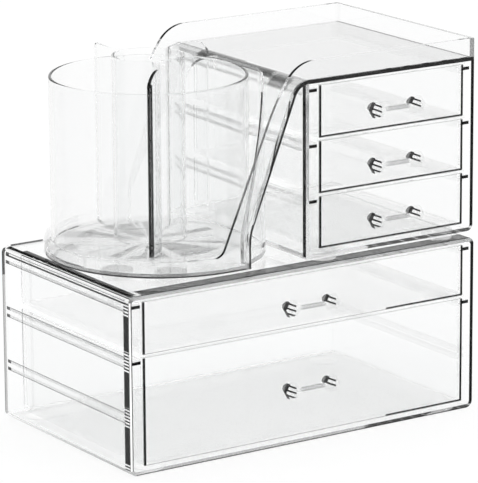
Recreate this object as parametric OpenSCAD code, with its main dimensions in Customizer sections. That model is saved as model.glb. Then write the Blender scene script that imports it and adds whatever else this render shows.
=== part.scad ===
// Clear acrylic make-up organizer: a three-tier base cabinet with a shallow and a deep drawer,
// a three-drawer cabinet with a tray on top, a curved guard that sweeps from the tray down to a
// round platform, and a brush cup with a three-way divider that turns on a ball turntable.
// The front faces -Y. The origin is the middle of the footprint, at the height it stands on.

/* [Cabinets] */
// Width over the base cabinet
base_w = 240; // [224:1:300]
// Depth of the base cabinet, front edge to back
case_d = 140; // [128:1:180]
// Wall of the cabinet sleeves
wall = 2.2; // [1.8:0.1:3]
// Top panel of the base cabinet
top_t = 2.6; // [2:0.1:4]
// Outer radius of the long edges of the base cabinet
case_r = 4.3; // [3.2:0.1:9]
// Outer radius of the upper cabinet's lower edge
upper_r = 4; // [3:0.5:6]
// How far the upper cabinet stands right of the middle of the base
upper_left = 0.8; // [0:0.1:6]
// How much shallower the upper unit is than the base
upper_inset = 1.2; // [0:0.1:4]
// Height of the pads under the base
base_foot_h = 0.8; // [0.6:0.1:4]
// Height of the pads between the base and the upper unit
upper_foot_h = 3.6; // [2:0.1:5]
// Diameter of the pads
foot_d = 18; // [12:0.5:22]
// Angle between the pads under the platform, seen from its middle
pad_turn = 31; // [26:1:36]

/* [Drawers] */
// Height of one drawer tier
tier = 32.5; // [30:0.5:45]
// Gap between one drawer front and the next
front_gap = 1.6; // [1:0.1:2.4]
// Gap under the lowest drawer front
bottom_gap = 3; // [1.5:0.1:4]
// Gap over the highest drawer front
top_gap = 1; // [0.8:0.1:3]
// Thickness of a drawer front
front_t = 2.6; // [2:0.1:4]
// Corner radius of a drawer front
front_r = 0.8; // [0.6:0.1:3]
// How far a drawer front stands out of its cabinet
front_proud = 0.8; // [0:0.1:2]
// Wall of the drawer box
box_t = 1.8; // [1.4:0.1:2.6]
// Radius of the drawer box's back corners
box_r = 4; // [3:0.5:8]
// How far the box's sides stand in from the edge of the front
box_inset = 0.4; // [0.2:0.1:3]
// How far the top of the box's sides lies under the top of the front
side_drop = 2.3; // [2:0.1:4]
// Thickness of the side flanges that the drawer hangs from
flange_t = 1.9; // [1.5:0.1:3]
// How far a side flange starts behind the cabinet's front edge
flange_setback = 1; // [0.5:0.1:4]
// Free space behind a closed drawer
back_gap = 3; // [1:0.5:10]

/* [Runners] */
// How far a runner strip stands in from the cabinet wall
runner_reach = 5.7; // [5:0.1:9]
// Thickness of a runner strip
runner_t = 2; // [1.6:0.1:3]
// How far the runners stop short of the cabinet's front edge
runner_setback = 6; // [0.5:0.5:12]
// Play between a flange and its runners, above and below
runner_play = 0.3; // [0.2:0.05:0.5]
// Play between a drawer and the runners or walls beside it
side_play = 0.6; // [0.4:0.1:1]

/* [Handles] */
// Distance between a handle's two studs
stud_pitch = 27.6; // [22:0.2:40]
// How far a stud stands out from the drawer front
stud_reach = 9; // [8:0.5:12]
// Length of a stud's flare, from the drawer front to its widest band
stud_flare = 3.8; // [3:0.1:4.5]
// Length of a stud's widest band
stud_band = 2.5; // [1:0.1:3]
// Width of a stud over its corners
stud_w = 10.6; // [8:0.2:13]
// Width of a stud over its corners at the drawer front and at the outer end
stud_end_w = 7; // [5:0.2:7.6]
// Thickness of the bar over its corners
bar_d = 2.8; // [2:0.1:3]
// Distance from the drawer front to the middle of the bar
bar_out = 6.2; // [5.8:0.1:7]
// Diameter of the pegs that hold a handle in the drawer front
peg_d = 4; // [3:0.1:5]
// How far the handle lies under the middle of the drawer front
handle_drop = 2.7; // [0:0.1:6]

/* [Tray and guard] */
// Thickness of the tray floor and of the guard sheet
sheet_t = 2.4; // [2:0.1:3]
// Height of the tray's lip over its floor
lip_h = 11; // [8:0.5:20]
// Thickness of the lip, the flanges and the platform's rim
lip_t = 2.2; // [1.8:0.1:3]
// Radius of the guard's bend under the tray
bend_r = 12; // [8:0.5:16]
// Slope of the guard sheet, from the level
sheet_slope = 68; // [64:0.5:72]
// Radius of the sheet where it turns upright
low_bend_r = 30; // [20:1:40]
// Distance from the upper cabinet to the foot of the guard sheet
guard_foot = 40; // [36:0.5:46]
// How far right of the floor's bend the lip starts to turn down
lip_lead = 4; // [2:0.5:8]
// Radius where the tray's lip turns down into the flange
lip_bend_r = 22; // [16:0.5:26]
// Angle through which the lip turns there
lip_turn = 56; // [54:0.5:58]
// Radius of the slow curve under that turn
flange_curve_r = 150; // [120:5:200]
// Slope of the straight part of the flange, from the level
flange_slope = 66.5; // [64:0.5:68]
// Radius where the flange runs out into the platform's rim
flange_foot_r = 7; // [4:0.5:10]
// Height of the platform's rim over its underside
rim_h = 9.2; // [8:0.1:12]
// Thickness of the platform's floor
platform_t = 2.2; // [1.8:0.1:3]
// How far the platform reaches out past the base's left side
overhang = 1.2; // [0:0.1:2]

/* [Cup and turntable] */
// Outer radius of the brush cup
cup_r = 57.3; // [52:0.1:58]
// Height of the brush cup
cup_h = 98; // [80:0.5:110]
// Wall of the brush cup
cup_t = 1.8; // [1.5:0.1:2.5]
// Floor of the brush cup
cup_floor_t = 2; // [1.8:0.1:3]
// Free space between the cup and the flat wall beside the upper cabinet
cup_play = 3.7; // [2:0.1:5]
// Free space between the cup and the round wall of its pocket in the guard
pocket_play = 7.2; // [6:0.1:9]
// Thickness of the pocket's flat wall beside the upper cabinet
pocket_web = 0.8; // [0.6:0.1:2]
// Outer radius of the divider's middle tube
tube_r = 21; // [16:0.5:26]
// How far the divider stands out of the cup
divider_rise = 11.2; // [4:0.2:20]
// Thickness of the divider's tube and blades
blade_t = 1.6; // [1.2:0.1:2.4]
// Radius of a blade's curve seen from above
blade_curve_r = 36.7; // [34:0.5:60]
// Angle between a blade's inner end and its outer end, seen from the cup's middle
blade_lead = 7.8; // [4:0.2:12]
// Radius that rounds a blade's upper outer corner
blade_corner_r = 9; // [4:0.5:10]
// Gap between a blade and the cup's wall
blade_gap = 0.3; // [0.2:0.05:0.5]
// Directions of the three blades
blade_1 = -122.3; // [-140:0.1:-100]
// Direction of the second blade
blade_2 = 18.7; // [0:0.1:40]
// Direction of the third blade
blade_3 = 91.7; // [70:0.1:110]
// Outer radius of the turntable's plates
turntable_r = 44; // [38:0.5:50]
// Thickness of each turntable plate
plate_t = 1.5; // [1.4:0.1:2]
// Radius of the ball race
race_r = 34; // [24:0.5:36]
// Diameter of a ball
ball_d = 2.4; // [2:0.1:2.8]
// Number of balls
balls = 12; // [8:1:16]
// Diameter of the pivot pin
pin_d = 6; // [5:0.1:8]

/* [Hidden] */

$fn = 96;
eps = 0.5;                 // extra length of a cutting shape, past the face it cuts
glue = 0.05;               // clearance of a bonded or pressed-in piece, on each side
run_play = 0.08;           // radial clearance of the plate on the pivot pin
cage_play = 0.12;          // clearance of the ball cage
tiers = 3;                 // drawer tiers in each cabinet
deep_tiers = 2;            // tiers that the deep drawer fills
arc_n = 12;                // steps in a quarter-turn bend

// Heights, from the standing surface up
stack_h = tiers * tier - front_gap;
base_floor_z = base_foot_h + wall;
base_front_z = base_floor_z + bottom_gap;
base_h = base_front_z + stack_h + top_gap + top_t;
unit_z = base_h + upper_foot_h;
upper_floor_z = unit_z + wall;
upper_front_z = upper_floor_z + bottom_gap;
tray_under_z = upper_front_z + stack_h + top_gap;
tray_z = tray_under_z + sheet_t;
lip_z = tray_z + lip_h;
rim_z = unit_z + rim_h;

// Widths and depths
base_inner = base_w / 2 - wall;
upper_right = base_w / 2;
upper_inner_left = upper_left + wall;
upper_inner_right = upper_right - wall;
upper_mid = (upper_inner_left + upper_inner_right) / 2;
upper_inner = (upper_inner_right - upper_inner_left) / 2;
upper_d = case_d - 2 * upper_inset;
platform_r = upper_d / 2;
platform_x = -base_w / 2 - overhang + platform_r;

// Drawer sizes
front_side = runner_reach + side_play;
base_front_w = 2 * (base_inner - front_side);
upper_front_w = 2 * (upper_inner - front_side);
shallow_h = tier - front_gap;
deep_h = deep_tiers * tier - front_gap;

// Guard: the x where the tray's floor starts to bend, and the bends' centres
bend_x = upper_left + wall;
sheet_foot_x = upper_left - guard_foot;
guard_right = upper_left - glue;
sheet_n = 90 + sheet_slope;
bend_z = tray_z - bend_r;
low_x = sheet_foot_x + low_bend_r;
slope_run = (bend_x + bend_r * cos(sheet_n) - low_x - low_bend_r * cos(sheet_n)) / cos(sheet_slope);
low_z = bend_z + bend_r * sin(sheet_n) - slope_run * sin(sheet_slope) - low_bend_r * sin(sheet_n);

// The upper cabinet's left wall ends under the bend of the sheet
left_wall_top = bend_z + sqrt(pow(bend_r - sheet_t, 2) - pow(wall, 2)) - glue;

// Flange: the outer edge of the front and back plates
flange_n = 90 + flange_slope;
turn_n = 90 + lip_turn;
lip_x = bend_x + lip_lead;
lip_bend_z = lip_z - lip_bend_r;
curve_x = lip_x + (lip_bend_r - flange_curve_r) * cos(turn_n);
curve_z = lip_bend_z + (lip_bend_r - flange_curve_r) * sin(turn_n);
curve_end_x = curve_x + flange_curve_r * cos(flange_n);
curve_end_z = curve_z + flange_curve_r * sin(flange_n);
flange_run = (curve_end_z + flange_foot_r * (sin(flange_n) - 1) - rim_z) / sin(flange_slope);
flange_foot_x = curve_end_x - flange_run * cos(flange_slope) + flange_foot_r * cos(flange_n);

// Cup and turntable
pocket_r = cup_r + pocket_play;
pocket_right = guard_right - pocket_web;
cup_x = pocket_right - cup_play - cup_r;
platform_top = unit_z + platform_t;
ball_gap = 1;              // height of the space between the two turntable plates
plate_z = platform_top + plate_t + ball_gap;
ball_z = platform_top + plate_t + ball_gap / 2;
cup_z = plate_z + plate_t;
cup_inner = cup_r - cup_t;
divider_z = cup_z + cup_floor_t;
divider_top = cup_z + cup_h + divider_rise;
washer_t = 1;
washer_d = 12;             // diameter of the washer and of the pin's head
pin_head_t = 1.2;

// Handles stand out in front, so the middle of the footprint lies behind the cabinet's middle
handle_len = stud_reach + front_proud;
shift = [overhang / 2, handle_len / 2, 0];

clear = [0.90, 0.93, 0.95, 0.45];
frosted = [0.84, 0.88, 0.91, 0.6];

// ---- shared shapes ----

function arc(x, z, r, from, to, n = arc_n) =
    [for (i = [0:n]) let (a = from + (to - from) * i / n) [x + r * cos(a), z + r * sin(a)]];

// The guard sheet's profile, a distance in under its upper face, from the tray down to the foot
function sheet_line(under) = concat(
    arc(bend_x, bend_z, bend_r - under, 90, sheet_n),
    arc(low_x, low_z, low_bend_r - under, sheet_n, 180),
    [[sheet_foot_x + under, unit_z]]
);

// The outer edge of the flange, from the tray's lip down to the platform's rim
flange_line = concat(
    arc(lip_x, lip_bend_z, lip_bend_r, 90, turn_n),
    arc(curve_x, curve_z, flange_curve_r, turn_n, flange_n),
    arc(flange_foot_x, rim_z + flange_foot_r, flange_foot_r, flange_n - 180, -90)
);

function reversed(list) = [for (i = [len(list) - 1:-1:0]) list[i]];

module in_place() {
    translate(shift) children();
}

// Extrudes an outline drawn in x and z along y
module along_y(y, length) {
    translate([0, y + length, 0]) rotate([90, 0, 0]) linear_extrude(length) children();
}

module rounded_rect(x0, z0, x1, z1, r) {
    translate([x0 + r, z0]) square([x1 - x0 - 2 * r, z1 - z0]);
    translate([x0, z0 + r]) square([x1 - x0, z1 - z0 - 2 * r]);
    for (x = [x0 + r, x1 - r], z = [z0 + r, z1 - r]) {
        translate([x, z]) circle(r);
    }
}

// A rectangle whose lower right corner alone is round
module skirt_rect(x0, z0, x1, z1, r) {
    translate([x0, z0]) square([x1 - x0 - r, z1 - z0]);
    translate([x0, z0 + r]) square([x1 - x0, z1 - z0 - r]);
    translate([x1 - r, z0 + r]) circle(r);
}

module ring(r_out, r_in, height) {
    difference() {
        cylinder(r = r_out, h = height);
        translate([0, 0, -eps]) cylinder(r = r_in, h = height + 2 * eps);
    }
}

// ---- base cabinet ----

// The room inside the base cabinet, seen from the front
module base_room(play) {
    rounded_rect(-base_inner + play, base_floor_z + play, base_inner - play,
        base_h - top_t - play, case_r - wall);
}

module base_case() {
    color(clear) in_place() difference() {
        along_y(-case_d / 2, case_d)
            rounded_rect(-base_w / 2, base_foot_h, base_w / 2, base_h, case_r);
        along_y(-case_d / 2 - eps, case_d + 2 * eps) base_room(0);
    }
}

module base_back_panel() {
    color(clear) in_place() along_y(case_d / 2 - wall, wall) base_room(glue);
}

// One side's runner strips: an upper and a lower strip at each tier, inside the given room
module runners(x, z, depth) {
    along_y(-depth / 2 + runner_setback, depth - wall - glue - runner_setback) intersection() {
        for (i = [1:tiers]) {
            flange_top = z + i * tier - front_gap - side_drop;
            for (strip_z = [flange_top + runner_play, flange_top - flange_t - runner_play - runner_t]) {
                translate([x, strip_z]) square([runner_reach, runner_t]);
            }
        }
        children();
    }
}

module base_left_runners() {
    color(clear) in_place() runners(-base_inner, base_front_z, case_d) base_room(0);
}

module base_right_runners() {
    color(clear) in_place() runners(base_inner - runner_reach, base_front_z, case_d) base_room(0);
}

module base_feet() {
    pad_x = base_w / 2 - foot_d;
    pad_y = case_d / 2 - foot_d / 2 - wall;
    color(frosted) in_place() for (x = [-pad_x, pad_x], y = [-pad_y, pad_y]) {
        translate([x, y, 0]) cylinder(d = foot_d, h = base_foot_h);
    }
}

// ---- drawers ----

// A drawer from above: square at the front, round corners at the back
module box_plan(w, length, r) {
    translate([-w / 2, 0]) square([w, length - r]);
    translate([-w / 2 + r, 0]) square([w - 2 * r, length]);
    for (x = [-w / 2 + r, w / 2 - r]) {
        translate([x, length - r]) circle(r);
    }
}

// A drawer with its front's outer face at y = 0 and its underside at z = 0
module drawer(front_w, front_h, inner, depth) {
    length = depth - wall - back_gap + front_proud;
    box_w = front_w - 2 * box_inset;
    side_h = front_h - side_drop;
    flange_w = inner - side_play - box_w / 2 + box_t;
    flange_y = front_proud + flange_setback;
    difference() {
        union() {
            along_y(0, front_t) rounded_rect(-front_w / 2, 0, front_w / 2, front_h, front_r);
            linear_extrude(side_h) translate([0, front_t / 2])
                box_plan(box_w, length - front_t / 2, box_r);
            for (x = [-inner + side_play, inner - side_play - flange_w]) {
                translate([x, flange_y, side_h - flange_t])
                    cube([flange_w, length - box_r - flange_y, flange_t]);
            }
        }
        translate([0, front_t, box_t]) linear_extrude(front_h)
            box_plan(box_w - 2 * box_t, length - front_t - box_t, box_r - box_t);
        for (x = [-stud_pitch / 2, stud_pitch / 2]) {
            translate([x, -eps, front_h / 2 - handle_drop]) rotate([-90, 0, 0])
                cylinder(d = peg_d + 2 * glue, h = front_t + 2 * eps);
        }
    }
}

// A handle: two six-sided studs, a thin bar between them, and two pegs through the front
module handle() {
    taper = stud_reach - stud_flare - stud_band;
    for (x = [-stud_pitch / 2, stud_pitch / 2]) {
        translate([x, 0, 0]) rotate([90, 0, 0]) {
            cylinder(d1 = stud_end_w, d2 = stud_w, h = stud_flare, $fn = 6);
            translate([0, 0, stud_flare]) cylinder(d = stud_w, h = stud_band, $fn = 6);
            translate([0, 0, stud_flare + stud_band])
                cylinder(d1 = stud_w, d2 = stud_end_w, h = taper, $fn = 6);
            translate([0, 0, -front_t]) cylinder(d = peg_d, h = front_t + stud_flare);
        }
    }
    translate([-stud_pitch / 2, -bar_out, 0]) rotate([0, 90, 0])
        cylinder(d = bar_d, h = stud_pitch, $fn = 8);
}

module base_drawer_place(z) {
    in_place() translate([0, -case_d / 2 - front_proud, z]) children();
}

module upper_drawer_place(i) {
    in_place() translate([upper_mid, -upper_d / 2 - front_proud, upper_front_z + i * tier])
        children();
}

module deep_drawer() {
    color(clear) base_drawer_place(base_front_z) drawer(base_front_w, deep_h, base_inner, case_d);
}

module deep_drawer_handle() {
    color(frosted) base_drawer_place(base_front_z + deep_h / 2 - handle_drop) handle();
}

module shallow_drawer() {
    color(clear) base_drawer_place(base_front_z + deep_tiers * tier)
        drawer(base_front_w, shallow_h, base_inner, case_d);
}

module shallow_drawer_handle() {
    color(frosted)
        base_drawer_place(base_front_z + deep_tiers * tier + shallow_h / 2 - handle_drop) handle();
}

module small_drawer(i) {
    color(clear) upper_drawer_place(i) drawer(upper_front_w, shallow_h, upper_inner, upper_d);
}

module small_handle(i) {
    color(frosted) upper_drawer_place(i) translate([0, 0, shallow_h / 2 - handle_drop]) handle();
}

// ---- upper cabinet ----

// The room inside the upper cabinet, seen from the front
module upper_room(play, top) {
    skirt_rect(upper_inner_left + play, upper_floor_z + play, upper_inner_right - play, top,
        upper_r - wall);
}

module upper_case() {
    color(clear) in_place() difference() {
        along_y(-upper_d / 2, upper_d)
            skirt_rect(upper_left, unit_z, upper_right, tray_under_z, upper_r);
        along_y(-upper_d / 2 - eps, upper_d + 2 * eps) {
            upper_room(0, tray_under_z + eps);
            translate([upper_left - eps, left_wall_top]) square([wall + 2 * eps, tray_under_z]);
        }
    }
}

module upper_back_panel() {
    color(clear) in_place() along_y(upper_d / 2 - wall, wall) upper_room(glue, tray_under_z - glue);
}

module upper_left_runners() {
    color(clear) in_place()
        runners(upper_inner_left, upper_front_z, upper_d) upper_room(0, tray_under_z);
}

module upper_right_runners() {
    color(clear) in_place() runners(upper_inner_right - runner_reach, upper_front_z, upper_d)
        upper_room(0, tray_under_z);
}

// Pads between the two cabinets: four under the platform, four under the upper cabinet
module upper_feet() {
    under_rim = platform_r - foot_d / 2 - lip_t;
    pad_y = upper_d / 2 - foot_d / 2 - wall;
    color(frosted) in_place() {
        for (i = [-2, -1, 1, 2]) {
            translate([platform_x, 0, base_h]) rotate(180 + i * pad_turn) translate([under_rim, 0, 0])
                cylinder(d = foot_d, h = upper_foot_h);
        }
        for (x = [upper_left + foot_d, upper_right - foot_d], y = [-pad_y, pad_y]) {
            translate([x, y, base_h]) cylinder(d = foot_d, h = upper_foot_h);
        }
    }
}

// ---- tray, guard and platform, one moulding ----

// The front or back plate: the lip, the flange beside the guard sheet and the start of the rim
module side_plate(y) {
    along_y(y, lip_t) polygon(concat(
        [[upper_right, tray_under_z], [upper_right, lip_z]],
        flange_line,
        [[platform_x, rim_z], [platform_x, unit_z]],
        reversed(sheet_line(sheet_t))
    ));
}

// The space on the cabinet's side of the guard sheet's upper face
module behind_sheet() {
    along_y(-upper_d / 2, upper_d) polygon(concat(sheet_line(0), [[bend_x, unit_z]]));
}

// The round pocket from above, cut flat beside the upper cabinet
module pocket_plan(r, right) {
    intersection() {
        translate([cup_x, 0]) circle(r);
        translate([cup_x - r, -r]) square([right - cup_x + r, 2 * r]);
    }
}

module platform_plan() {
    intersection() {
        translate([platform_x, 0]) circle(platform_r);
        translate([platform_x - platform_r, -platform_r]) square([platform_r, 2 * platform_r]);
    }
    translate([platform_x, -platform_r]) square([sheet_foot_x + sheet_t - platform_x, 2 * platform_r]);
}

module tray_and_guard() {
    color(clear) in_place() {
        difference() {
            union() {
                translate([bend_x, -upper_d / 2, tray_under_z])
                    cube([upper_right - bend_x, upper_d, sheet_t]);
                along_y(-upper_d / 2, upper_d)
                    polygon(concat(sheet_line(0), reversed(sheet_line(sheet_t))));
                intersection() {
                    translate([0, 0, unit_z]) linear_extrude(tray_z - unit_z)
                        pocket_plan(pocket_r + lip_t, guard_right);
                    behind_sheet();
                }
                translate([0, 0, unit_z]) linear_extrude(platform_t) platform_plan();
            }
            translate([0, 0, platform_top]) linear_extrude(tray_z) pocket_plan(pocket_r, pocket_right);
            translate([cup_x, 0, unit_z - eps])
                cylinder(d = pin_d + 2 * glue, h = platform_t + 2 * eps);
        }
        side_plate(-upper_d / 2);
        side_plate(upper_d / 2 - lip_t);
        translate([upper_right - lip_t, -upper_d / 2, tray_under_z])
            cube([lip_t, upper_d, lip_z - tray_under_z]);
        translate([platform_x, 0, unit_z]) rotate(90) rotate_extrude(angle = 180)
            translate([platform_r - lip_t, 0]) square([lip_t, rim_h]);
    }
}

// ---- turntable ----

module cup_axis(z) {
    in_place() translate([cup_x, 0, z]) children();
}

module race() {
    rotate_extrude() translate([race_r, 0]) circle(d = ball_d + 2 * run_play, $fn = 32);
}

module turntable_base() {
    color(clear) cup_axis(platform_top) difference() {
        ring(turntable_r, pin_d / 2 + glue, plate_t);
        translate([0, 0, ball_z - platform_top]) race();
    }
}

module turntable_plate() {
    color(clear) cup_axis(plate_z) difference() {
        ring(turntable_r, pin_d / 2 + run_play, plate_t);
        translate([0, 0, ball_z - plate_z]) race();
    }
}

module around_race() {
    for (i = [0:balls - 1]) {
        rotate(i * 360 / balls) translate([race_r, 0, 0]) children();
    }
}

module turntable_cage() {
    cage_t = ball_gap - 2 * cage_play;
    color(frosted) cup_axis(ball_z - cage_t / 2) difference() {
        ring(race_r + ball_d, race_r - ball_d, cage_t);
        translate([0, 0, -eps]) around_race()
            cylinder(d = ball_d + 2 * cage_play, h = cage_t + 2 * eps, $fn = 24);
    }
}

module turntable_balls() {
    color(clear) cup_axis(ball_z) around_race() sphere(d = ball_d, $fn = 24);
}

// The pin comes up through the platform and ends under the cup's floor
module pivot_pin() {
    color(clear) cup_axis(unit_z) {
        translate([0, 0, -pin_head_t]) cylinder(d = washer_d, h = pin_head_t);
        cylinder(d = pin_d, h = cup_z + washer_t - unit_z);
    }
}

// The washer is pressed on the pin over the turntable's plate
module pivot_washer() {
    color(clear) cup_axis(cup_z + run_play) ring(washer_d / 2, pin_d / 2 + glue, washer_t - run_play);
}

// ---- cup and divider ----

module brush_cup() {
    recess_r = washer_d / 2 + side_play;
    recess_h = washer_t + runner_play;
    rim_r = cup_t / 2 - glue;
    corner_r = cup_floor_t;
    color(clear) cup_axis(cup_z) difference() {
        rotate_extrude() {
            square([cup_r - corner_r, cup_floor_t]);
            intersection() {
                translate([cup_r - corner_r, corner_r]) circle(corner_r);
                translate([cup_r - corner_r, 0]) square([corner_r, corner_r]);
            }
            translate([cup_inner, corner_r]) square([cup_t, cup_h - corner_r - rim_r]);
            translate([cup_inner + rim_r, cup_h - rim_r]) circle(rim_r);
            translate([cup_r - rim_r, cup_h - rim_r]) circle(rim_r);
        }
        translate([0, 0, -eps]) cylinder(r = recess_r, h = recess_h + eps);
    }
}

// The room that the divider may fill: it rounds the blades' upper outer corners
module divider_envelope() {
    reach = cup_inner - blade_gap;
    height = divider_top - divider_z;
    rotate_extrude() {
        square([reach - blade_corner_r, height]);
        square([reach, height - blade_corner_r]);
        translate([reach - blade_corner_r, height - blade_corner_r]) circle(blade_corner_r);
    }
}

// One blade, its outer end on the x axis: an arc from the tube to the cup's wall
module blade() {
    inner_x = tube_r - blade_t / 2;
    inner_y = inner_x * sin(blade_lead);
    chord = norm([cup_inner - inner_x, inner_y]);
    rise = sqrt(pow(blade_curve_r, 2) - pow(chord / 2, 2));
    across = [inner_y, cup_inner - inner_x] / chord;
    centre = [(inner_x + cup_inner) / 2, inner_y / 2] - rise * across;
    from = atan2(-centre[1], cup_inner - centre[0]);
    to = atan2(inner_y - centre[1], inner_x - centre[0]);
    translate([centre[0], centre[1], 0]) rotate(from) rotate_extrude(angle = to - from)
        translate([blade_curve_r - blade_t / 2, 0]) square([blade_t, divider_top - divider_z]);
}

module cup_divider() {
    color(clear) cup_axis(divider_z) {
        ring(tube_r, tube_r - blade_t, divider_top - divider_z);
        difference() {
            intersection() {
                union() {
                    for (a = [blade_1, blade_2, blade_3]) {
                        rotate(a) blade();
                    }
                }
                divider_envelope();
            }
            translate([0, 0, -eps])
                cylinder(r = tube_r - blade_t, h = divider_top - divider_z + 2 * eps);
        }
    }
}

base_case();
base_back_panel();
base_left_runners();
base_right_runners();
base_feet();
deep_drawer();
deep_drawer_handle();
shallow_drawer();
shallow_drawer_handle();
upper_case();
upper_back_panel();
upper_left_runners();
upper_right_runners();
upper_feet();
tray_and_guard();
small_drawer(0);  // lower_small_drawer
small_handle(0);  // lower_small_handle
small_drawer(1);  // middle_small_drawer
small_handle(1);  // middle_small_handle
small_drawer(2);  // upper_small_drawer
small_handle(2);  // upper_small_handle
turntable_base();
turntable_cage();
turntable_balls();
turntable_plate();
pivot_pin();
pivot_washer();
brush_cup();
cup_divider();
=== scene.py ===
"""Looks of the clear acrylic make-up organizer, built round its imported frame.

Metres, Z up, front towards -Y.
"""

import math

import bpy
from mathutils import Matrix, Vector

MM = 0.001

# Where the photograph's camera stands, from its fit to the cabinets' corners
CAMERA_AZIMUTH = -33.505  # degrees, 0 looks along +Y
CAMERA_ELEVATION = 14.269  # degrees above the horizon
CAMERA_DISTANCE = 2.1434
CAMERA_ROLL = 0.337  # degrees
CAMERA_TARGET = Vector((0.6, 4.9, 110.0)) * MM
FOCAL_PIXELS = 3648.2
IMAGE_LONG_SIDE = 483
TARGET_LEFT_PIXELS, TARGET_UP_PIXELS = 0.645, 7.767  # from the picture's middle
SENSOR = 36.0

# Places and sizes of the source, in millimetres from the cabinets' middle (x, z for the bends)
SHIFT_X, SHIFT_Y = 0.6, 4.9  # from the cabinets' middle to the frame
TIER = 32.5
TRAY_UNDER, TRAY_Z = 211.2, 213.6
SHEET_T = 2.4  # the guard sheet
BEND, BEND_R, BEND_LOW_Z = (3.0, 201.6), 12.0, 206.1  # where the guard bends down from the tray
SLOPE, SLOPE_R, SLOPE_LOW_Z = (3700.6, -1292.4), 4000.0, 134.6  # its straight slope, as a very wide arc
FOOT_BEND, FOOT_BEND_R, FOOT_Z = (-9.2, 123.4), 30.0, 123.4  # where it turns down to the platform
CUP_X = -61.05
POCKET_R = 64.5  # the round pocket beside the cup
BLADE_END = (-89.3, -45.6)  # the front blade's outer end

# The handles, as shares of their own box and in millimetres
HANDLE_W, STUD_H = 38.2, 9.18
STUD_PITCH, STUD_MIDDLE = 0.722, 0.139  # between the studs' middles, and the left one's middle
STUD_SLANT = 0.42  # fall of the dark prongs to the right

CLEAR = (0.995, 0.997, 0.997)
PAINTED_SHADE_BLACK = 0.0004  # near-black tint of the painted shade on cut edges; a tint this low still lets a few percent through

LEFT, FRONT, BACK, UP = (-1, 0, 0), (0, -1, 0), (0, 1, 0), (0, 0, 1)
BEND_UP = (-0.4, 0, 0.92)  # up and left, as the guard's upper bend looks
ANY_SIDE = -2  # a turn that lets every face take a strip

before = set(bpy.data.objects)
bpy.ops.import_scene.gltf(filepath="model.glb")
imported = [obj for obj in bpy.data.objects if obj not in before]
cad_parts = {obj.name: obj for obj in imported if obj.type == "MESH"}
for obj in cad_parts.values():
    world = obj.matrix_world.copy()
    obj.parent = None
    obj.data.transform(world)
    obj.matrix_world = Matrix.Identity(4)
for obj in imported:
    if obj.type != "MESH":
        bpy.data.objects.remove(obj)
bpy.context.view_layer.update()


# ---- node helpers ----


def new_material(name):
    """An empty node material: (material, nodes, link)."""
    made = bpy.data.materials.new(name)
    made.use_nodes = True
    made.node_tree.nodes.clear()
    return made, made.node_tree.nodes, made.node_tree.links.new


def new_group(name, inputs, outputs):
    """An empty shader node group: (group, nodes, link, entry, exit)."""
    group = bpy.data.node_groups.new(name, "ShaderNodeTree")
    for label, kind, value in inputs:
        socket = group.interface.new_socket(label, in_out="INPUT", socket_type=kind)
        socket.default_value = value
    for label, kind in outputs:
        group.interface.new_socket(label, in_out="OUTPUT", socket_type=kind)
    nodes, link = group.nodes, group.links.new
    return group, nodes, link, nodes.new("NodeGroupInput"), nodes.new("NodeGroupOutput")


def place_group(nodes, group, **values):
    """A node group placed in a material, with its values by socket name."""
    node = nodes.new("ShaderNodeGroup")
    node.node_tree = group
    for label, value in values.items():
        node.inputs[label].default_value = value
    return node


def math_node(nodes, link, operation, first, second=None, clamp=False):
    """A Math node's result; numbers go on its sockets, all else is linked."""
    node = nodes.new("ShaderNodeMath")
    node.operation = operation
    node.use_clamp = clamp
    for socket, value in zip(node.inputs, (first, second)):
        if value is None:
            continue
        if isinstance(value, (int, float)):
            socket.default_value = value
        else:
            link(value, socket)
    return node.outputs[0]


# ---- shared effects ----


def make_strip_mask():
    """White on the faces that look along Direction inside a box, black elsewhere."""
    group, nodes, link, entry, out = new_group(
        "strip_mask",
        [("Centre", "NodeSocketVector", (0, 0, 0)), ("Half", "NodeSocketVector", (0, 0, 0)),
         ("Softness", "NodeSocketFloat", 0.0003), ("Direction", "NodeSocketVector", (0, 0, 1)),
         ("Turn", "NodeSocketFloat", 0.7)],
        [("Mask", "NodeSocketFloat")],
    )
    where = nodes.new("ShaderNodeTexCoord")
    vector = where.outputs["Object"]
    for operation, value in (("SUBTRACT", "Centre"), ("ABSOLUTE", None), ("SUBTRACT", "Half")):
        step = nodes.new("ShaderNodeVectorMath")
        step.operation = operation
        link(vector, step.inputs[0])
        if value:
            link(entry.outputs[value], step.inputs[1])
        vector = step.outputs[0]
    axes = nodes.new("ShaderNodeSeparateXYZ")
    link(vector, axes.inputs[0])
    beyond = math_node(nodes, link, "MAXIMUM", axes.outputs[0], axes.outputs[1])
    beyond = math_node(nodes, link, "MAXIMUM", beyond, axes.outputs[2])
    ramp = math_node(nodes, link, "DIVIDE", beyond, entry.outputs["Softness"])
    ramp = math_node(nodes, link, "SUBTRACT", 0.5, ramp, clamp=True)
    faces = facing_mask(nodes, link, where, entry)
    link(math_node(nodes, link, "MULTIPLY", ramp, faces), out.inputs["Mask"])
    return group


def facing_mask(nodes, link, where, entry):
    """1 on the faces whose normal lies near the group's Direction, else 0."""
    facing = nodes.new("ShaderNodeVectorMath")
    facing.operation = "DOT_PRODUCT"
    link(where.outputs["Normal"], facing.inputs[0])
    link(entry.outputs["Direction"], facing.inputs[1])
    return math_node(nodes, link, "GREATER_THAN", facing.outputs["Value"], entry.outputs["Turn"])


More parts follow.
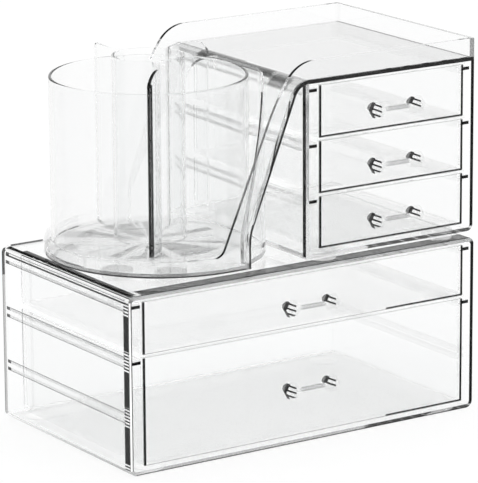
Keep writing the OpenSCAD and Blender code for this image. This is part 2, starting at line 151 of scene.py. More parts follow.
def make_ring_mask():
    """White between two radii about an axis along Y, on the faces that look along Direction."""
    group, nodes, link, entry, out = new_group(
        "ring_mask",
        [("Centre", "NodeSocketVector", (0, 0, 0)), ("Inner", "NodeSocketFloat", 0.0),
         ("Outer", "NodeSocketFloat", 0.0), ("Softness", "NodeSocketFloat", 0.0003),
         ("Direction", "NodeSocketVector", (0, -1, 0)), ("Turn", "NodeSocketFloat", 0.7),
         ("Low Z", "NodeSocketFloat", 0.0), ("High Z", "NodeSocketFloat", 0.0),
         ("Back Y", "NodeSocketFloat", 0.0)],
        [("Mask", "NodeSocketFloat")],
    )
    where = nodes.new("ShaderNodeTexCoord")
    away = nodes.new("ShaderNodeVectorMath")
    away.operation = "SUBTRACT"
    link(where.outputs["Object"], away.inputs[0])
    link(entry.outputs["Centre"], away.inputs[1])
    flat = nodes.new("ShaderNodeVectorMath")
    flat.operation = "MULTIPLY"
    flat.inputs[1].default_value = (1, 0, 1)
    link(away.outputs[0], flat.inputs[0])
    span = nodes.new("ShaderNodeVectorMath")
    span.operation = "LENGTH"
    link(flat.outputs[0], span.inputs[0])
    total = facing_mask(nodes, link, where, entry)
    radius = span.outputs["Value"]
    for first, second in ((radius, entry.outputs["Inner"]), (entry.outputs["Outer"], radius)):
        ramp = math_node(nodes, link, "SUBTRACT", first, second)
        ramp = math_node(nodes, link, "DIVIDE", ramp, entry.outputs["Softness"])
        ramp = math_node(nodes, link, "ADD", ramp, 0.5, clamp=True)
        total = math_node(nodes, link, "MULTIPLY", total, ramp)
    height = nodes.new("ShaderNodeSeparateXYZ")
    link(where.outputs["Object"], height.inputs[0])
    above = math_node(nodes, link, "GREATER_THAN", height.outputs["Z"], entry.outputs["Low Z"])
    below = math_node(nodes, link, "LESS_THAN", height.outputs["Z"], entry.outputs["High Z"])
    before = math_node(nodes, link, "LESS_THAN", height.outputs["Y"], entry.outputs["Back Y"])
    total = math_node(nodes, link, "MULTIPLY", total, above)
    total = math_node(nodes, link, "MULTIPLY", total, before)
    link(math_node(nodes, link, "MULTIPLY", total, below), out.inputs["Mask"])
    return group


def make_pocket_edge_mask():
    """White along the line where the round pocket cuts the guard's left face, before its middle."""
    group, nodes, link, entry, out = new_group(
        "pocket_edge_mask",
        [("Centre", "NodeSocketVector", (0, 0, 0)), ("Inner", "NodeSocketFloat", 0.0),
         ("Outer", "NodeSocketFloat", 0.0), ("Low Z", "NodeSocketFloat", 0.0),
         ("High Z", "NodeSocketFloat", 0.0)],
        [("Mask", "NodeSocketFloat")],
    )
    slope = place_group(
        nodes, ring_mask, Centre=frame_mm(SLOPE[0], 0, SLOPE[1]), Inner=(SLOPE_R - 0.8) * MM,
        Outer=(SLOPE_R + 0.4) * MM, Direction=UP, Turn=ANY_SIDE)
    link(entry.outputs["Low Z"], slope.inputs["Low Z"])
    link(entry.outputs["High Z"], slope.inputs["High Z"])
    where = nodes.new("ShaderNodeTexCoord")
    away = nodes.new("ShaderNodeVectorMath")
    away.operation = "SUBTRACT"
    link(where.outputs["Object"], away.inputs[0])
    link(entry.outputs["Centre"], away.inputs[1])
    flat = nodes.new("ShaderNodeVectorMath")
    flat.operation = "MULTIPLY"
    flat.inputs[1].default_value = (1, 1, 0)
    link(away.outputs[0], flat.inputs[0])
    span = nodes.new("ShaderNodeVectorMath")
    span.operation = "LENGTH"
    link(flat.outputs[0], span.inputs[0])
    beyond = math_node(nodes, link, "GREATER_THAN", span.outputs["Value"], entry.outputs["Inner"])
    within = math_node(nodes, link, "LESS_THAN", span.outputs["Value"], entry.outputs["Outer"])
    total = math_node(nodes, link, "MULTIPLY", slope.outputs["Mask"], beyond)
    link(math_node(nodes, link, "MULTIPLY", total, within), out.inputs["Mask"])
    return group


def make_tier_mask():
    """White over a height From up, repeated at every drawer tier."""
    group, nodes, link, entry, out = new_group(
        "tier_mask",
        [("From", "NodeSocketFloat", 0.0), ("Height", "NodeSocketFloat", 0.001)],
        [("Mask", "NodeSocketFloat")],
    )
    where = nodes.new("ShaderNodeTexCoord")
    axes = nodes.new("ShaderNodeSeparateXYZ")
    link(where.outputs["Object"], axes.inputs[0])
    up = math_node(nodes, link, "SUBTRACT", axes.outputs["Z"], entry.outputs["From"])
    up = math_node(nodes, link, "FRACT", math_node(nodes, link, "DIVIDE", up, TIER * MM))
    share = math_node(nodes, link, "DIVIDE", entry.outputs["Height"], TIER * MM)
    link(math_node(nodes, link, "LESS_THAN", up, share), out.inputs["Mask"])
    return group


def make_comb_mask():
    """The fine comb of gaps in the painted shade of the dark front band, where the runners' ends show
    through.
    """
    group, nodes, link, entry, out = new_group(
        "comb_mask",
        [("From", "NodeSocketFloat", 0.0), ("Height", "NodeSocketFloat", 0.012),
         ("Pitch", "NodeSocketFloat", 0.0019)],
        [("Mask", "NodeSocketFloat")],
    )
    where = nodes.new("ShaderNodeTexCoord")
    axes = nodes.new("ShaderNodeSeparateXYZ")
    link(where.outputs["Object"], axes.inputs[0])
    tooth = math_node(nodes, link, "DIVIDE", axes.outputs["Z"], entry.outputs["Pitch"])
    tooth = math_node(nodes, link, "FRACT", tooth)
    tooth = math_node(nodes, link, "GREATER_THAN", tooth, 0.52)
    tier = place_group(nodes, tier_mask)
    link(entry.outputs["From"], tier.inputs["From"])
    link(entry.outputs["Height"], tier.inputs["Height"])
    link(math_node(nodes, link, "MULTIPLY", tooth, tier.outputs[0]), out.inputs["Mask"])
    return group


def make_handling_marks():
    """Fine hairlines and smudges of a handled sheet: a roughness and a height."""
    group, nodes, link, entry, out = new_group(
        "handling_marks",
        [("Smudge Size", "NodeSocketFloat", 38.0), ("Hairlines", "NodeSocketFloat", 1.0),
         ("Clean", "NodeSocketFloat", 0.0), ("Smudged", "NodeSocketFloat", 0.03)],
        [("Roughness", "NodeSocketFloat"), ("Height", "NodeSocketFloat")],
    )
    where = nodes.new("ShaderNodeTexCoord")
    smudge = nodes.new("ShaderNodeTexNoise")
    smudge.inputs["Detail"].default_value = 3.0
    link(where.outputs["Object"], smudge.inputs["Vector"])
    link(entry.outputs["Smudge Size"], smudge.inputs["Scale"])
    soft = nodes.new("ShaderNodeMapRange")
    soft.interpolation_type = "SMOOTHSTEP"
    soft.inputs["From Min"].default_value = 0.56
    soft.inputs["From Max"].default_value = 0.74
    link(smudge.outputs["Fac"], soft.inputs["Value"])
    link(entry.outputs["Clean"], soft.inputs["To Min"])
    link(entry.outputs["Smudged"], soft.inputs["To Max"])
    hair = None
    for turn, stretch in (((0.3, 0.5, 0.9), (40, 900, 900)), ((1.1, -0.4, 0.2), (900, 50, 900))):
        spin = nodes.new("ShaderNodeMapping")
        spin.inputs["Rotation"].default_value = turn
        spin.inputs["Scale"].default_value = stretch
        link(where.outputs["Object"], spin.inputs["Vector"])
        lines = nodes.new("ShaderNodeTexNoise")
        lines.inputs["Scale"].default_value = 1.0
        lines.inputs["Detail"].default_value = 1.0
        link(spin.outputs[0], lines.inputs["Vector"])
        thin = nodes.new("ShaderNodeMapRange")
        thin.inputs["From Min"].default_value = 0.66
        thin.inputs["From Max"].default_value = 0.72
        link(lines.outputs["Fac"], thin.inputs["Value"])
        hair = thin.outputs[0] if hair is None else math_node(nodes, link, "MAXIMUM", hair, thin.outputs[0])
    hair = math_node(nodes, link, "MULTIPLY", hair, entry.outputs["Hairlines"])
    both = math_node(nodes, link, "MULTIPLY", hair, 0.02)
    link(math_node(nodes, link, "ADD", soft.outputs[0], both), out.inputs["Roughness"])
    link(hair, out.inputs["Height"])
    return group


def frame_mm(x, y, z):
    """A place given from the cabinets' middle in millimetres, in the frame's metres."""
    return ((x + SHIFT_X) * MM, (y + SHIFT_Y) * MM, z * MM)


strip_mask = make_strip_mask()
ring_mask = make_ring_mask()
tier_mask = make_tier_mask()
comb_mask = make_comb_mask()
handling_marks = make_handling_marks()
pocket_edge_mask = make_pocket_edge_mask()


def strip(low, high, direction, shade, soft=0.3, turn=0.7, comb=None):
    """A coloured strip on the faces inside a box, in millimetres from the cabinets' middle: painted shade, a
    painted highlight or a fade.

    Only faces whose normal times direction is over turn take it. comb is the height where the
    lowest comb of runner ends interrupts it.
    """
    centre = [(a + b) / 2 for a, b in zip(low, high)]
    half = [(b - a) / 2 * MM for a, b in zip(low, high)]
    values = {"Centre": frame_mm(*centre), "Half": half, "Softness": soft * MM, "Direction": direction,
              "Turn": turn}
    return strip_mask, values, shade, comb


def ring(centre, inner, outer, low_z, high_z, shade):
    """An arc of painted shade on the near flange's front face, about an axis along Y."""
    values = {"Centre": frame_mm(centre[0], 0, centre[1]), "Inner": inner * MM, "Outer": outer * MM,
              "Low Z": low_z * MM, "High Z": high_z * MM, "Back Y": frame_mm(0, -60, 0)[1]}
    return ring_mask, values, shade, None


def pocket_edge(inner, outer, low_z, high_z, shade):
    """A line of painted shade between two radii about the cup's axis, on the guard's left face."""
    values = {"Centre": frame_mm(CUP_X, 0, 0), "Inner": inner * MM, "Outer": outer * MM,
              "Low Z": low_z * MM, "High Z": high_z * MM}
    return pocket_edge_mask, values, shade, None


def tinted(nodes, link, tint, strips):
    """A colour that turns to each strip's own shade where its mask is white."""
    colour = None
    for group, values, shade, comb in strips:
        mask = place_group(nodes, group, **values).outputs[0]
        if comb is not None:
            teeth = place_group(nodes, comb_mask, From=comb * MM).outputs[0]
            gaps = math_node(nodes, link, "SUBTRACT", 1.0, teeth)
            mask = math_node(nodes, link, "MULTIPLY", mask, gaps)
        mix = nodes.new("ShaderNodeMix")
        mix.data_type = "RGBA"
        link(mask, mix.inputs["Factor"])
        if colour is None:
            mix.inputs[6].default_value = (*tint, 1.0)
        else:
            link(colour, mix.inputs[6])
        mix.inputs[7].default_value = (shade, shade, shade, 1.0)
        colour = mix.outputs[2]
    return colour


def clear_acrylic(name, ior, absorption, strips=(), glow=(), fade=()):
    """Solid clear acrylic, its absorption per metre.

    The index is lower than real acrylic's, for the photograph shows hardly any bending. Strips paint
    shade on cut edges and a few faces, glow paints a highlight on them by emission, fade makes faces
    fainter. Lamps reach through it, so that what stands behind it stays lit.
    """
    made, nodes, link = new_material(name)
    out = nodes.new("ShaderNodeOutputMaterial")
    glass = nodes.new("ShaderNodeBsdfPrincipled")
    glass.inputs["Transmission Weight"].default_value = 1.0
    glass.inputs["IOR"].default_value = ior
    glass.inputs["Base Color"].default_value = (*CLEAR, 1.0)
    if strips:
        link(tinted(nodes, link, CLEAR, strips), glass.inputs["Base Color"])
    if glow:
        glass.inputs["Emission Strength"].default_value = 1.0
        link(tinted(nodes, link, (0.0, 0.0, 0.0), glow), glass.inputs["Emission Color"])
    if fade:
        link(tinted(nodes, link, (1.0, 1.0, 1.0), fade), glass.inputs["Alpha"])
    worn = place_group(nodes, handling_marks, Smudged=0.01)
    link(worn.outputs["Roughness"], glass.inputs["Roughness"])
    bump = nodes.new("ShaderNodeBump")
    bump.inputs["Strength"].default_value = 0.15
    bump.inputs["Distance"].default_value = 0.00001
    link(worn.outputs["Height"], bump.inputs["Height"])
    link(bump.outputs[0], glass.inputs["Normal"])
    for_lamps = nodes.new("ShaderNodeBsdfTransparent")
    for_lamps.inputs["Color"].default_value = (0.985, 0.99, 0.99, 1.0)
    path = nodes.new("ShaderNodeLightPath")
    either = nodes.new("ShaderNodeMixShader")
    link(path.outputs["Is Shadow Ray"], either.inputs[0])
    link(glass.outputs[0], either.inputs[1])
    link(for_lamps.outputs[0], either.inputs[2])
    link(either.outputs[0], out.inputs["Surface"])
    depth = nodes.new("ShaderNodeVolumeAbsorption")
    depth.inputs["Color"].default_value = (0.02, 0.03, 0.03, 1.0)
    depth.inputs["Density"].default_value = absorption
    link(depth.outputs[0], out.inputs["Volume"])
    return made


def thin_plastic(name, shade, flat, rims, lines=(), roughness=0.25):
    """Thin see-through plastic, drawn by Alpha: flat on level faces, rims on upright ones.

    Lines (group, values, strength) of painted shade show on the faces that look left, on their outer side
    only.
    """
    made, nodes, link = new_material(name)
    out = nodes.new("ShaderNodeOutputMaterial")
    body = nodes.new("ShaderNodeBsdfPrincipled")
    body.inputs["IOR"].default_value = 1.3
    link(body.outputs[0], out.inputs["Surface"])
    where = nodes.new("ShaderNodeTexCoord")
    axes = nodes.new("ShaderNodeSeparateXYZ")
    link(where.outputs["Normal"], axes.inputs[0])
    level = math_node(nodes, link, "ABSOLUTE", axes.outputs["Z"])
    rim = nodes.new("ShaderNodeMapRange")
    rim.inputs["From Min"].default_value = 0.2
    rim.inputs["From Max"].default_value = 0.9
    rim.inputs["To Min"].default_value = rims
    rim.inputs["To Max"].default_value = flat
    link(level, rim.inputs["Value"])
    alpha = rim.outputs[0]
    upright = math_node(nodes, link, "LESS_THAN", axes.outputs["X"], -0.5)
    side = nodes.new("ShaderNodeNewGeometry")
    outside = math_node(nodes, link, "SUBTRACT", 1.0, side.outputs["Backfacing"])
    upright = math_node(nodes, link, "MULTIPLY", upright, outside)
    for group, values, strength in lines:
        mask = place_group(nodes, group, **values).outputs[0]
        mask = math_node(nodes, link, "MULTIPLY", mask, upright)
        alpha = math_node(nodes, link, "MAXIMUM", alpha, math_node(nodes, link, "MULTIPLY", mask, strength))
    link(alpha, body.inputs["Alpha"])
    grain = nodes.new("ShaderNodeTexNoise")
    grain.inputs["Scale"].default_value = 900.0
    link(where.outputs["Object"], grain.inputs["Vector"])
    mottle = nodes.new("ShaderNodeMix")
    mottle.data_type = "RGBA"
    link(grain.outputs["Fac"], mottle.inputs["Factor"])
    mottle.inputs[6].default_value = (0.9 * shade, 0.9 * shade, 0.9 * shade, 1.0)
    mottle.inputs[7].default_value = (shade, shade, shade, 1.0)
    link(mottle.outputs[2], body.inputs["Base Color"])
    worn = place_group(nodes, handling_marks, Clean=roughness, Smudged=roughness + 0.15)
    link(worn.outputs["Roughness"], body.inputs["Roughness"])
    return made


def cut_studs(name):
    """Studs of cut acrylic with painted shade: a dark block behind on their left, dark prongs before, and a
    grey bar.

    Placed by the handle's own box: u to the right, v to the back, w up. Along and height are
    millimetres from a stud's middle. The right stud keeps its upper half of black only.
    """
    made, nodes, link = new_material(name)
    out = nodes.new("ShaderNodeOutputMaterial")
    body = nodes.new("ShaderNodeBsdfPrincipled")
    body.inputs["IOR"].default_value = 1.49
    link(body.outputs[0], out.inputs["Surface"])
    where = nodes.new("ShaderNodeTexCoord")
    share = nodes.new("ShaderNodeSeparateXYZ")
    link(where.outputs["Generated"], share.inputs[0])
    faces = nodes.new("ShaderNodeSeparateXYZ")
    link(where.outputs["Normal"], faces.inputs[0])
    u, v, w = share.outputs
    right_stud = math_node(nodes, link, "GREATER_THAN", u, 0.5)
    along = math_node(nodes, link, "SUBTRACT", u, math_node(nodes, link, "MULTIPLY", right_stud, STUD_PITCH))
    along = math_node(nodes, link, "SUBTRACT", along, STUD_MIDDLE)
    along = math_node(nodes, link, "MULTIPLY", along, HANDLE_W)
    height = math_node(nodes, link, "MULTIPLY", math_node(nodes, link, "SUBTRACT", w, 0.5), STUD_H)
    slanted = math_node(nodes, link, "MULTIPLY", along, STUD_SLANT)
    slanted = math_node(nodes, link, "ADD", height, slanted)
    # painted shade: a dark block on the left faces at the back and three dark prongs at the front
    left_faces = math_node(nodes, link, "LESS_THAN", faces.outputs["X"], -0.35)
    block = math_node(nodes, link, "GREATER_THAN", v, 0.2)
    block = math_node(nodes, link, "MULTIPLY", block, left_faces)
    prongs = None
    for middle in (2.3, -0.6, -3.6):  # heights of the three dark prongs, in millimetres
        prong = math_node(nodes, link, "COMPARE", slanted, middle)
        prong.node.inputs[2].default_value = 0.55
        prongs = prong if prongs is None else math_node(nodes, link, "MAXIMUM", prongs, prong)
    prongs = math_node(nodes, link, "MULTIPLY", prongs, math_node(nodes, link, "LESS_THAN", v, 0.233))
    prongs = math_node(nodes, link, "MULTIPLY", prongs, math_node(nodes, link, "LESS_THAN", along, 0.3))
    low_half = math_node(nodes, link, "LESS_THAN", slanted, -1.4)
    kept = math_node(nodes, link, "SUBTRACT", 1.0, math_node(nodes, link, "MULTIPLY", right_stud, low_half))
    black = math_node(nodes, link, "MAXIMUM", block, prongs)
    black = math_node(nodes, link, "MULTIPLY", black, kept)
    # painted shade: a grey bar between the two studs
    bar = math_node(nodes, link, "COMPARE", u, 0.5)
    bar.node.inputs[2].default_value = 0.21
    side = nodes.new("ShaderNodeNewGeometry")
    outside = math_node(nodes, link, "SUBTRACT", 1.0, side.outputs["Backfacing"])
    black = math_node(nodes, link, "MULTIPLY", black, outside)
    black = math_node(nodes, link, "MULTIPLY", black, math_node(nodes, link, "SUBTRACT", 1.0, bar))
    # white body, near black where shade is painted
    colour = nodes.new("ShaderNodeMix")
    colour.data_type = "RGBA"
    link(black, colour.inputs["Factor"])
    colour.inputs[6].default_value = (0.93, 0.93, 0.93, 1.0)
    colour.inputs[7].default_value = (0.02, 0.02, 0.02, 1.0)
    bar_colour = nodes.new("ShaderNodeMix")
    bar_colour.data_type = "RGBA"
    link(bar, bar_colour.inputs["Factor"])
    link(colour.outputs[2], bar_colour.inputs[6])
    bar_colour.inputs[7].default_value = (0.2, 0.2, 0.2, 1.0)
    link(bar_colour.outputs[2], body.inputs["Base Color"])
    level = math_node(nodes, link, "ABSOLUTE", faces.outputs["Z"])
    rims = math_node(nodes, link, "MULTIPLY", level, 0.3)
    clear = math_node(nodes, link, "ADD", math_node(nodes, link, "MULTIPLY", bar, rims), 0.1)
    link(math_node(nodes, link, "MAXIMUM", black, clear), body.inputs["Alpha"])
    worn = place_group(nodes, handling_marks, Clean=0.05, Smudged=0.15)
    link(worn.outputs["Roughness"], body.inputs["Roughness"])
    return made


# ---- stage, light and camera ----


def make_floor():
    """A pale floor that keeps the object's soft shadow and is white to the eye around it."""
    bpy.ops.mesh.primitive_circle_add(vertices=128, radius=6.0, fill_type="NGON")
    floor = bpy.context.object
    floor.name = "floor"
    made, nodes, link = new_material("pale_floor")
    out = nodes.new("ShaderNodeOutputMaterial")
    matte = nodes.new("ShaderNodeBsdfDiffuse")
    matte.inputs["Color"].default_value = (0.25, 0.25, 0.25, 1.0)
    glow = nodes.new("ShaderNodeEmission")
    path = nodes.new("ShaderNodeLightPath")
    seen = math_node(
        nodes, link, "MAXIMUM", path.outputs["Is Camera Ray"], path.outputs["Is Transmission Ray"])
    seen = math_node(nodes, link, "MAXIMUM", seen, path.outputs["Is Glossy Ray"])
    link(math_node(nodes, link, "MULTIPLY", seen, 0.75), glow.inputs["Strength"])
    both = nodes.new("ShaderNodeAddShader")
    link(matte.outputs[0], both.inputs[0])
    link(glow.outputs[0], both.inputs[1])
    link(both.outputs[0], out.inputs["Surface"])
    floor.data.materials.append(made)


def make_world():
    """White all round for the camera; a darker band high up for what the acrylic bends or mirrors."""
    world = bpy.data.worlds.new("studio")
    bpy.context.scene.world = world
    world.use_nodes = True
    nodes, link = world.node_tree.nodes, world.node_tree.links.new
    nodes.clear()
    out = nodes.new("ShaderNodeOutputWorld")
    back = nodes.new("ShaderNodeBackground")
    where = nodes.new("ShaderNodeTexCoord")
    axes = nodes.new("ShaderNodeSeparateXYZ")
    link(where.outputs["Generated"], axes.inputs[0])
    dome = nodes.new("ShaderNodeValToRGB")
    ramp = dome.color_ramp
    ramp.elements[0].position = 0.0
    ramp.elements[0].color = (1, 1, 1, 1)
    ramp.elements[1].position = 1.0
    ramp.elements[1].color = (1, 1, 1, 1)
    for position, value in ((0.36, 1.0), (0.46, 0.12), (0.80, 0.12), (0.90, 1.0)):
        made = ramp.elements.new(position)
        made.color = (value, value, value, 1)
    link(axes.outputs["Z"], dome.inputs[0])
    path = nodes.new("ShaderNodeLightPath")
    bent = math_node(
        nodes, link, "MAXIMUM", path.outputs["Is Transmission Ray"], path.outputs["Is Glossy Ray"])
    mix = nodes.new("ShaderNodeMix")
    mix.data_type = "RGBA"
    link(bent, mix.inputs["Factor"])
    mix.inputs[6].default_value = (1, 1, 1, 1)
    link(dome.outputs[0], mix.inputs[7])
    link(mix.outputs[2], back.inputs["Color"])
    link(back.outputs[0], out.inputs["Surface"])


def make_lamps():
    """Two soft round lamps, front left and front right, aimed at the object's middle."""
    for name, place, size, power in (
        ("key_softbox", (-0.9, -1.1, 1.5), 0.9, 6.0),
        ("fill_softbox", (1.3, -0.5, 1.2), 0.9, 3.0),
    ):
        lamp = bpy.data.lights.new(name, "AREA")
        lamp.shape = "DISK"
        lamp.size = size
        lamp.energy = power
        held = bpy.data.objects.new(name, lamp)
        bpy.context.scene.collection.objects.link(held)
        held.location = place
        held.rotation_mode = "QUATERNION"
        aim = Vector(place) - CAMERA_TARGET
        held.rotation_quaternion = aim.to_track_quat("Z", "Y")


def make_camera():
    """The photograph's camera."""
    azimuth, elevation = math.radians(CAMERA_AZIMUTH), math.radians(CAMERA_ELEVATION)
    back = Vector((
        math.sin(azimuth) * math.cos(elevation),
        -math.cos(azimuth) * math.cos(elevation),
        math.sin(elevation),
    ))
    lens = bpy.data.cameras.new("camera")
    camera = bpy.data.objects.new("camera", lens)
    bpy.context.scene.collection.objects.link(camera)
    lens.sensor_width = SENSOR
    lens.lens = FOCAL_PIXELS * SENSOR / IMAGE_LONG_SIDE
    lens.shift_x = TARGET_LEFT_PIXELS / IMAGE_LONG_SIDE
    lens.shift_y = -TARGET_UP_PIXELS / IMAGE_LONG_SIDE
    lens.clip_start, lens.clip_end = 0.1, 100.0
    camera.location = CAMERA_TARGET + back * CAMERA_DISTANCE
    roll = Matrix.Rotation(-math.radians(CAMERA_ROLL), 3, "Z").to_quaternion()
    camera.rotation_mode = "QUATERNION"
    camera.rotation_quaternion = back.to_track_quat("Z", "Y") @ roll
    bpy.context.scene.camera = camera


make_floor()
make_world()
make_lamps()
make_camera()

# ---- finishes ----

case_sheet = clear_acrylic(
    "case_sheet", ior=1.2, absorption=4.0,
    strips=[
        # painted shade: the left wall's dark front band, a dark line where its bend starts, and the top's
        # dark left and front borders
        strip((-121, -71, 4), (-119, -64.6, 102), LEFT, PAINTED_SHADE_BLACK, comb=29.0),
        strip((-121, -66, 100.6), (-119, 64, 101.7), LEFT, 0.002, turn=0.5),
        strip((-119, -68, 100), (-113.3, 52, 106), UP, PAINTED_SHADE_BLACK, soft=0.8, turn=0.87),
        strip((-111, -70.5, 105), (121, -61, 106), UP, 0.02),
        strip((-111, -62.4, 105), (121, -61, 106), UP, PAINTED_SHADE_BLACK),
        # painted shade on the back edges of the top and of the left wall
        strip((-114, 69, 102), (-92, 71, 106), BACK, PAINTED_SHADE_BLACK, turn=ANY_SIDE),
        strip((-121, 69, 88), (-117, 71, 104), BACK, 0.01, turn=ANY_SIDE),
        strip((-121, 69, 3), (-117, 71, 88), BACK, 0.3, turn=ANY_SIDE),
        # painted shade on the front edges: left wall's inner line, right wall, top, floor
        strip((-118.3, -71, 4), (-117.2, -69, 102), FRONT, PAINTED_SHADE_BLACK),
        strip((117.4, -71, 3), (121, -69, 103), FRONT, PAINTED_SHADE_BLACK),
        strip((-116, -71, 105.0), (118, -69, 106), FRONT, PAINTED_SHADE_BLACK, soft=0.2),
        strip((-116, -71, 0.5), (118, -69, 1.4), FRONT, 0.01),
        # painted shade: two dark lines along the left wall's foot
        strip((-121, -70, 1.9), (-119, 68, 2.6), LEFT, 0.002),
        strip((-121, -70, 0.4), (-119, 68, 1.1), LEFT, 0.05, turn=0.3),
    ],
    glow=[strip((-119.6, -71, 4), (-118.5, -69, 102), FRONT, 0.72)],  # painted highlight: the left wall's front edge glows white by emission
)
upper_sheet = clear_acrylic(
    "upper_sheet", ior=1.2, absorption=2.0,
    strips=[
        # painted shade on the left wall's front band and the right wall's front edge
        strip((0, -70, 110), (2, -65.6, 214), LEFT, PAINTED_SHADE_BLACK),
        strip((117.6, -70, 112), (121, -67, 214), FRONT, PAINTED_SHADE_BLACK),
    ],
)
guard_sheet = clear_acrylic(
    "guard_sheet", ior=1.36, absorption=7.0,
    fade=[strip((-125, -20, 111.5), (2, 72, 205), UP, 0.1, turn=ANY_SIDE)],  # the guard behind the cup
    strips=[
        # painted shade on the sheet's front edge: along the tray, round the bend, down the slope, to the
        # platform
        strip((BEND[0], -70, TRAY_UNDER), (120, -67, TRAY_Z), FRONT, PAINTED_SHADE_BLACK),
        ring(BEND, BEND_R - SHEET_T, BEND_R, BEND_LOW_Z, TRAY_Z, PAINTED_SHADE_BLACK),
        ring(SLOPE, SLOPE_R - SHEET_T, SLOPE_R - 0.7, SLOPE_LOW_Z, BEND_LOW_Z, PAINTED_SHADE_BLACK),
        ring(FOOT_BEND, FOOT_BEND_R - SHEET_T, FOOT_BEND_R - 0.9, FOOT_Z, SLOPE_LOW_Z, PAINTED_SHADE_BLACK),
        strip((-38.3, -70, 109), (-37.0, -67, FOOT_Z), FRONT, PAINTED_SHADE_BLACK),
        # painted shade on the platform's lower edge
        strip((-130, -70, 109), (-40, 20, 110.0), FRONT, 0.002, turn=0.3),
        strip((-130, -70, 109), (-40, 20, 110.0), LEFT, 0.002, turn=0.7),
        # painted shade: the tray's floor a little grey, and a dark left end on the bend
        strip((4, -66, TRAY_UNDER), (118, 68, TRAY_Z + 0.5), UP, 0.80, turn=0.9),
        strip((-3.5, -4, 207), (4.2, 39, 214), BEND_UP, 0.12, soft=1, turn=0.8),
        strip((-2.5, -38, 207), (2.4, -2, 214), BEND_UP, 0.12, soft=0.6, turn=0.8),
        strip((-5.5, -58, 206), (0.2, -40, 214), BEND_UP, 0.25, soft=1, turn=0.8),
        # painted shade on the pocket's edge, and on the near flange's outer edge
        pocket_edge(POCKET_R - 0.2, POCKET_R + 1.0, 148, 203, 0.002),
        strip((-62, -69, 118.2), (-8, -66.4, 142), LEFT, 0.002, turn=0.1),
        strip((-62, -69, 142), (-8, -66.4, 206), LEFT, 0.15, soft=2, turn=0.1),
    ],
)
back_sheet = clear_acrylic("back_sheet", ior=1.05, absorption=1.0)
cup_wall = clear_acrylic(
    "cup_wall", ior=1.25, absorption=12.0,
    fade=[strip((-130, -62, 114), (2, 62, 117.6), UP, 0.05, turn=ANY_SIDE)],  # its floor
)
divider_wall = clear_acrylic(
    "divider_wall", ior=1.15, absorption=10.0,
    fade=[
        strip((-130, -62, 116), (2, 62, 119), UP, 0.1, turn=ANY_SIDE),  # the foot
        strip((-45.5, 6.5, 119), (-39.5, 13.5, 226), UP, 0.15, turn=ANY_SIDE),  # the right blade's root
    ],
    strips=[
        # painted shade on the front blade's outer edge and its rounded top corner
        strip((BLADE_END[0] - 1.7, BLADE_END[1] - 1.7, 117), (BLADE_END[0] + 1.7, BLADE_END[1] + 1.7, 218),
              UP, PAINTED_SHADE_BLACK, turn=ANY_SIDE),
        strip((BLADE_END[0] - 4, BLADE_END[1] - 4, 205), (BLADE_END[0] + 9, BLADE_END[1] + 9, 226),
              UP, PAINTED_SHADE_BLACK, turn=0.15),
    ],
)
cut_acrylic = cut_studs("cut_acrylic")
soft_pad = thin_plastic("soft_pad", 0.5, 0.0, 0.12, roughness=0.35)
turntable_sheet = thin_plastic("turntable_sheet", 0.95, 0.0, 0.03)


def runner_plastic(name, first, strength, end):
    """Runner strips: all but unseen, with a fine painted shade line along the outer edges of each pair.

    First is the lowest line's height in millimetres, end the strength of the painted shade on the strips'
    back ends.
    """
    end_box = strip((-121, 64, 0), (121, 69, 220), LEFT, 0)[1]
    return thin_plastic(
        name, 0.12, 0.0, 0.0,
        lines=[
            (tier_mask, {"From": first * MM, "Height": 0.5 * MM}, strength),
            (tier_mask, {"From": (first + 6.0) * MM, "Height": 0.5 * MM}, strength),
            (strip_mask, end_box, end),
        ],
    )


base_runner = runner_plastic("base_runner", 30.4, 0.6, 1.0)
upper_runner = runner_plastic("upper_runner", 138.7, 0.08, 0.0)
right_runner = thin_plastic("right_runner", 0.3, 0.05, 0.04)


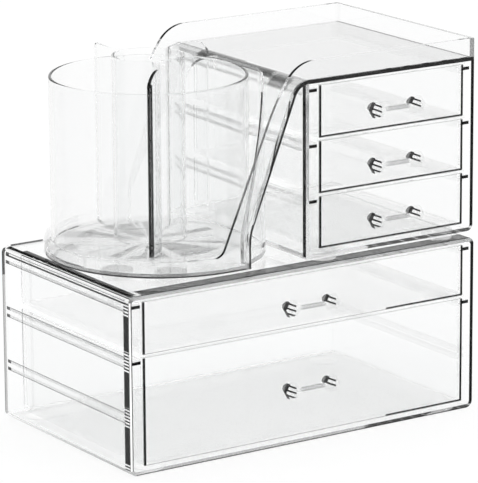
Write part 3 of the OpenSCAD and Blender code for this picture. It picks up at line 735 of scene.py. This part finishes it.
def drawer_acrylic(name, node):
    """Clear drawer whose front has painted shade on its cut edges left, right and below."""
    corners = [corner.co for corner in node.data.vertices]
    front = min(c.y for c in corners)
    plate = [c for c in corners if c.y < front + 0.5 * MM]
    left, right = (pick(c.x for c in plate) / MM - SHIFT_X for pick in (min, max))
    low, high = (pick(c.z for c in plate) / MM for pick in (min, max))
    near, far = front / MM - SHIFT_Y - 0.5, front / MM - SHIFT_Y + 0.5
    low_line_from = left if "small" in name else 56  # the wide drawers' painted shade line along the low edge runs on the right only
    return clear_acrylic(
        name, ior=1.12, absorption=7.0,
        strips=[
            # painted shade on the front's left, right and lower edges
            strip((left, near, low), (left + 1.7, far, high), FRONT, PAINTED_SHADE_BLACK, turn=ANY_SIDE),
            strip((right - 1.6, near, low), (right, far, high), FRONT, PAINTED_SHADE_BLACK, turn=ANY_SIDE),
            strip((low_line_from, near, low), (right, far, low + 1.3), FRONT, PAINTED_SHADE_BLACK, turn=ANY_SIDE),
            # painted shade on the flanges' front ends
            strip((left - 9, near, low), (left - 0.1, far + 4, high), FRONT, PAINTED_SHADE_BLACK),
            strip((right + 0.1, near, low), (right + 9, far + 4, high), FRONT, PAINTED_SHADE_BLACK),
            # fine painted shade lines along the front's lower and upper edges
            strip((left, near, low), (right, far, low + 0.4), FRONT, 0.1, turn=ANY_SIDE),
            strip((left, near, high - 0.4), (right, far, high), FRONT, 0.4, turn=ANY_SIDE),
        ],
        fade=[  # both flanges, and the drawer's floor
            strip((left - 9, far + 4, low - 1), (left + 0.6, 80, high), UP, 0.12, turn=ANY_SIDE),
            strip((right - 0.6, far + 4, low - 1), (right + 9, 80, high), UP, 0.12, turn=ANY_SIDE),
            strip((left, near + 1, low - 1), (right, 80, low + 2.4), UP, 0.16, turn=ANY_SIDE),
        ],
    )


FINISH = {
    "base_case": case_sheet,
    "base_back_panel": back_sheet, "upper_back_panel": back_sheet,
    "upper_case": upper_sheet,
    "tray_and_guard": guard_sheet,
    "brush_cup": cup_wall, "cup_divider": divider_wall,
    "base_left_runners": base_runner, "base_right_runners": right_runner,
    "upper_left_runners": upper_runner, "upper_right_runners": right_runner,
}


def finish_of(name, node):
    """The material of a node, by its name."""
    if name in FINISH:
        return FINISH[name]
    if name.endswith("_feet"):
        return soft_pad
    if name.endswith("_handle"):
        return cut_acrylic
    if name.endswith("_drawer"):
        kind = "small_drawer" if "small" in name else name
        return drawer_acrylic(kind + "_acrylic", node)
    return turntable_sheet


for name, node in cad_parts.items():
    node.data.materials.clear()
    node.data.materials.append(finish_of(name, node))

scene = bpy.context.scene
scene.view_settings.view_transform = "Standard"
# Many clear sheets stand behind each other
scene.cycles.max_bounces = 40
scene.cycles.transmission_bounces = 40
scene.cycles.glossy_bounces = 40
scene.cycles.transparent_max_bounces = 64
